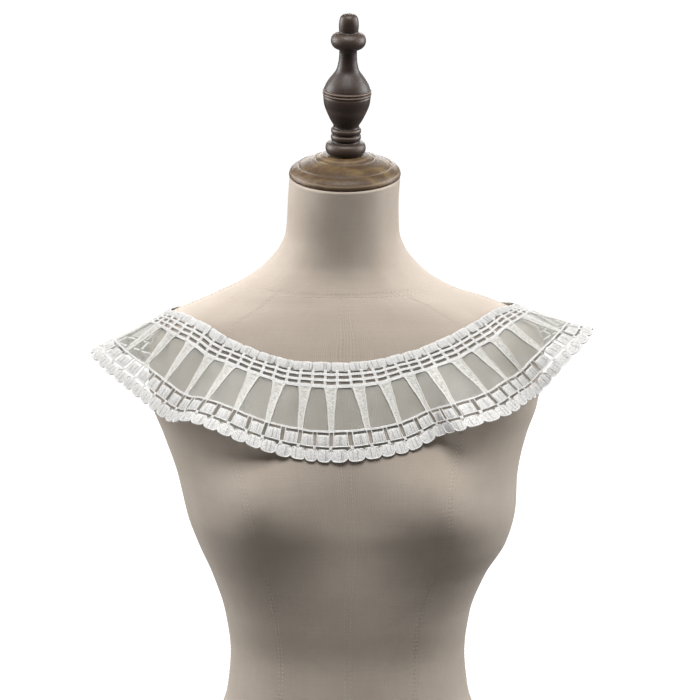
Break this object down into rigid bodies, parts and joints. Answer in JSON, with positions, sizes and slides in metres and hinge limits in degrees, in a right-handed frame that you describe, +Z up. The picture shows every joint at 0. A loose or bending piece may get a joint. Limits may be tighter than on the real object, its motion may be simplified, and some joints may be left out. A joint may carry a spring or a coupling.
{
  "type": "lace collar on a dress form",
  "caption": "Wide round lace collar with a ladder band, open spokes, block border and scalloped hem, draped over the shoulders of a limbless linen dress form with a turned wooden finial",
  "frame": {"origin": "centre of the base board's underside, level with the middle of the form's sections", "axes": "+Z up through the neck, -Y to the front of the collar, +X to the left side of whoever wears it"},
  "size_m": [0.5048, 0.2486, 0.8292],
  "materials": {
    "linen_cover": "plain woven linen, matt",
    "lace_net": "sheer fine net",
    "lace_thread": "ivory embroidery thread with a soft sheen",
    "dark_turned_wood": "dark stain, semi-gloss lacquer",
    "walnut_cap": "walnut stain, satin, worn on its edges",
    "base_wood": "plain sanded board"
  },
  "bodies": {
    "root": {"form_torso": "linen_cover", "form_base_board": "base_wood", "form_neck_cap": "walnut_cap", "form_finial": "dark_turned_wood", "lace_ground": "lace_net", "lace_neck_edge": "lace_thread", "lace_ladder_band": "lace_thread", "lace_block_band": "lace_thread", "lace_scallop_edge": "lace_thread", "lace_spoke_01": "lace_thread", "lace_spoke_02": "lace_thread", "lace_spoke_03": "lace_thread", "lace_spoke_04": "lace_thread", "lace_spoke_05": "lace_thread", "lace_spoke_06": "lace_thread", "lace_spoke_07": "lace_thread", "lace_spoke_08": "lace_thread", "lace_spoke_09": "lace_thread", "lace_spoke_10": "lace_thread", "lace_spoke_11": "lace_thread", "lace_spoke_12": "lace_thread", "lace_spoke_13": "lace_thread", "lace_spoke_14": "lace_thread", "lace_spoke_15": "lace_thread", "lace_spoke_16": "lace_thread", "lace_spoke_17": "lace_thread", "lace_spoke_18": "lace_thread", "lace_spoke_19": "lace_thread", "lace_spoke_20": "lace_thread", "lace_spoke_21": "lace_thread", "lace_spoke_22": "lace_thread", "lace_spoke_23": "lace_thread", "lace_spoke_24": "lace_thread", "lace_spoke_25": "lace_thread", "lace_spoke_26": "lace_thread", "lace_spoke_27": "lace_thread", "lace_spoke_28": "lace_thread", "lace_spoke_29": "lace_thread", "lace_spoke_30": "lace_thread", "lace_spoke_31": "lace_thread", "lace_spoke_32": "lace_thread", "lace_spoke_33": "lace_thread", "lace_spoke_34": "lace_thread", "lace_spoke_35": "lace_thread", "lace_spoke_36": "lace_thread", "lace_spoke_37": "lace_thread", "lace_spoke_38": "lace_thread", "lace_spoke_39": "lace_thread", "lace_spoke_40": "lace_thread"}
  },
  "joints": []
}
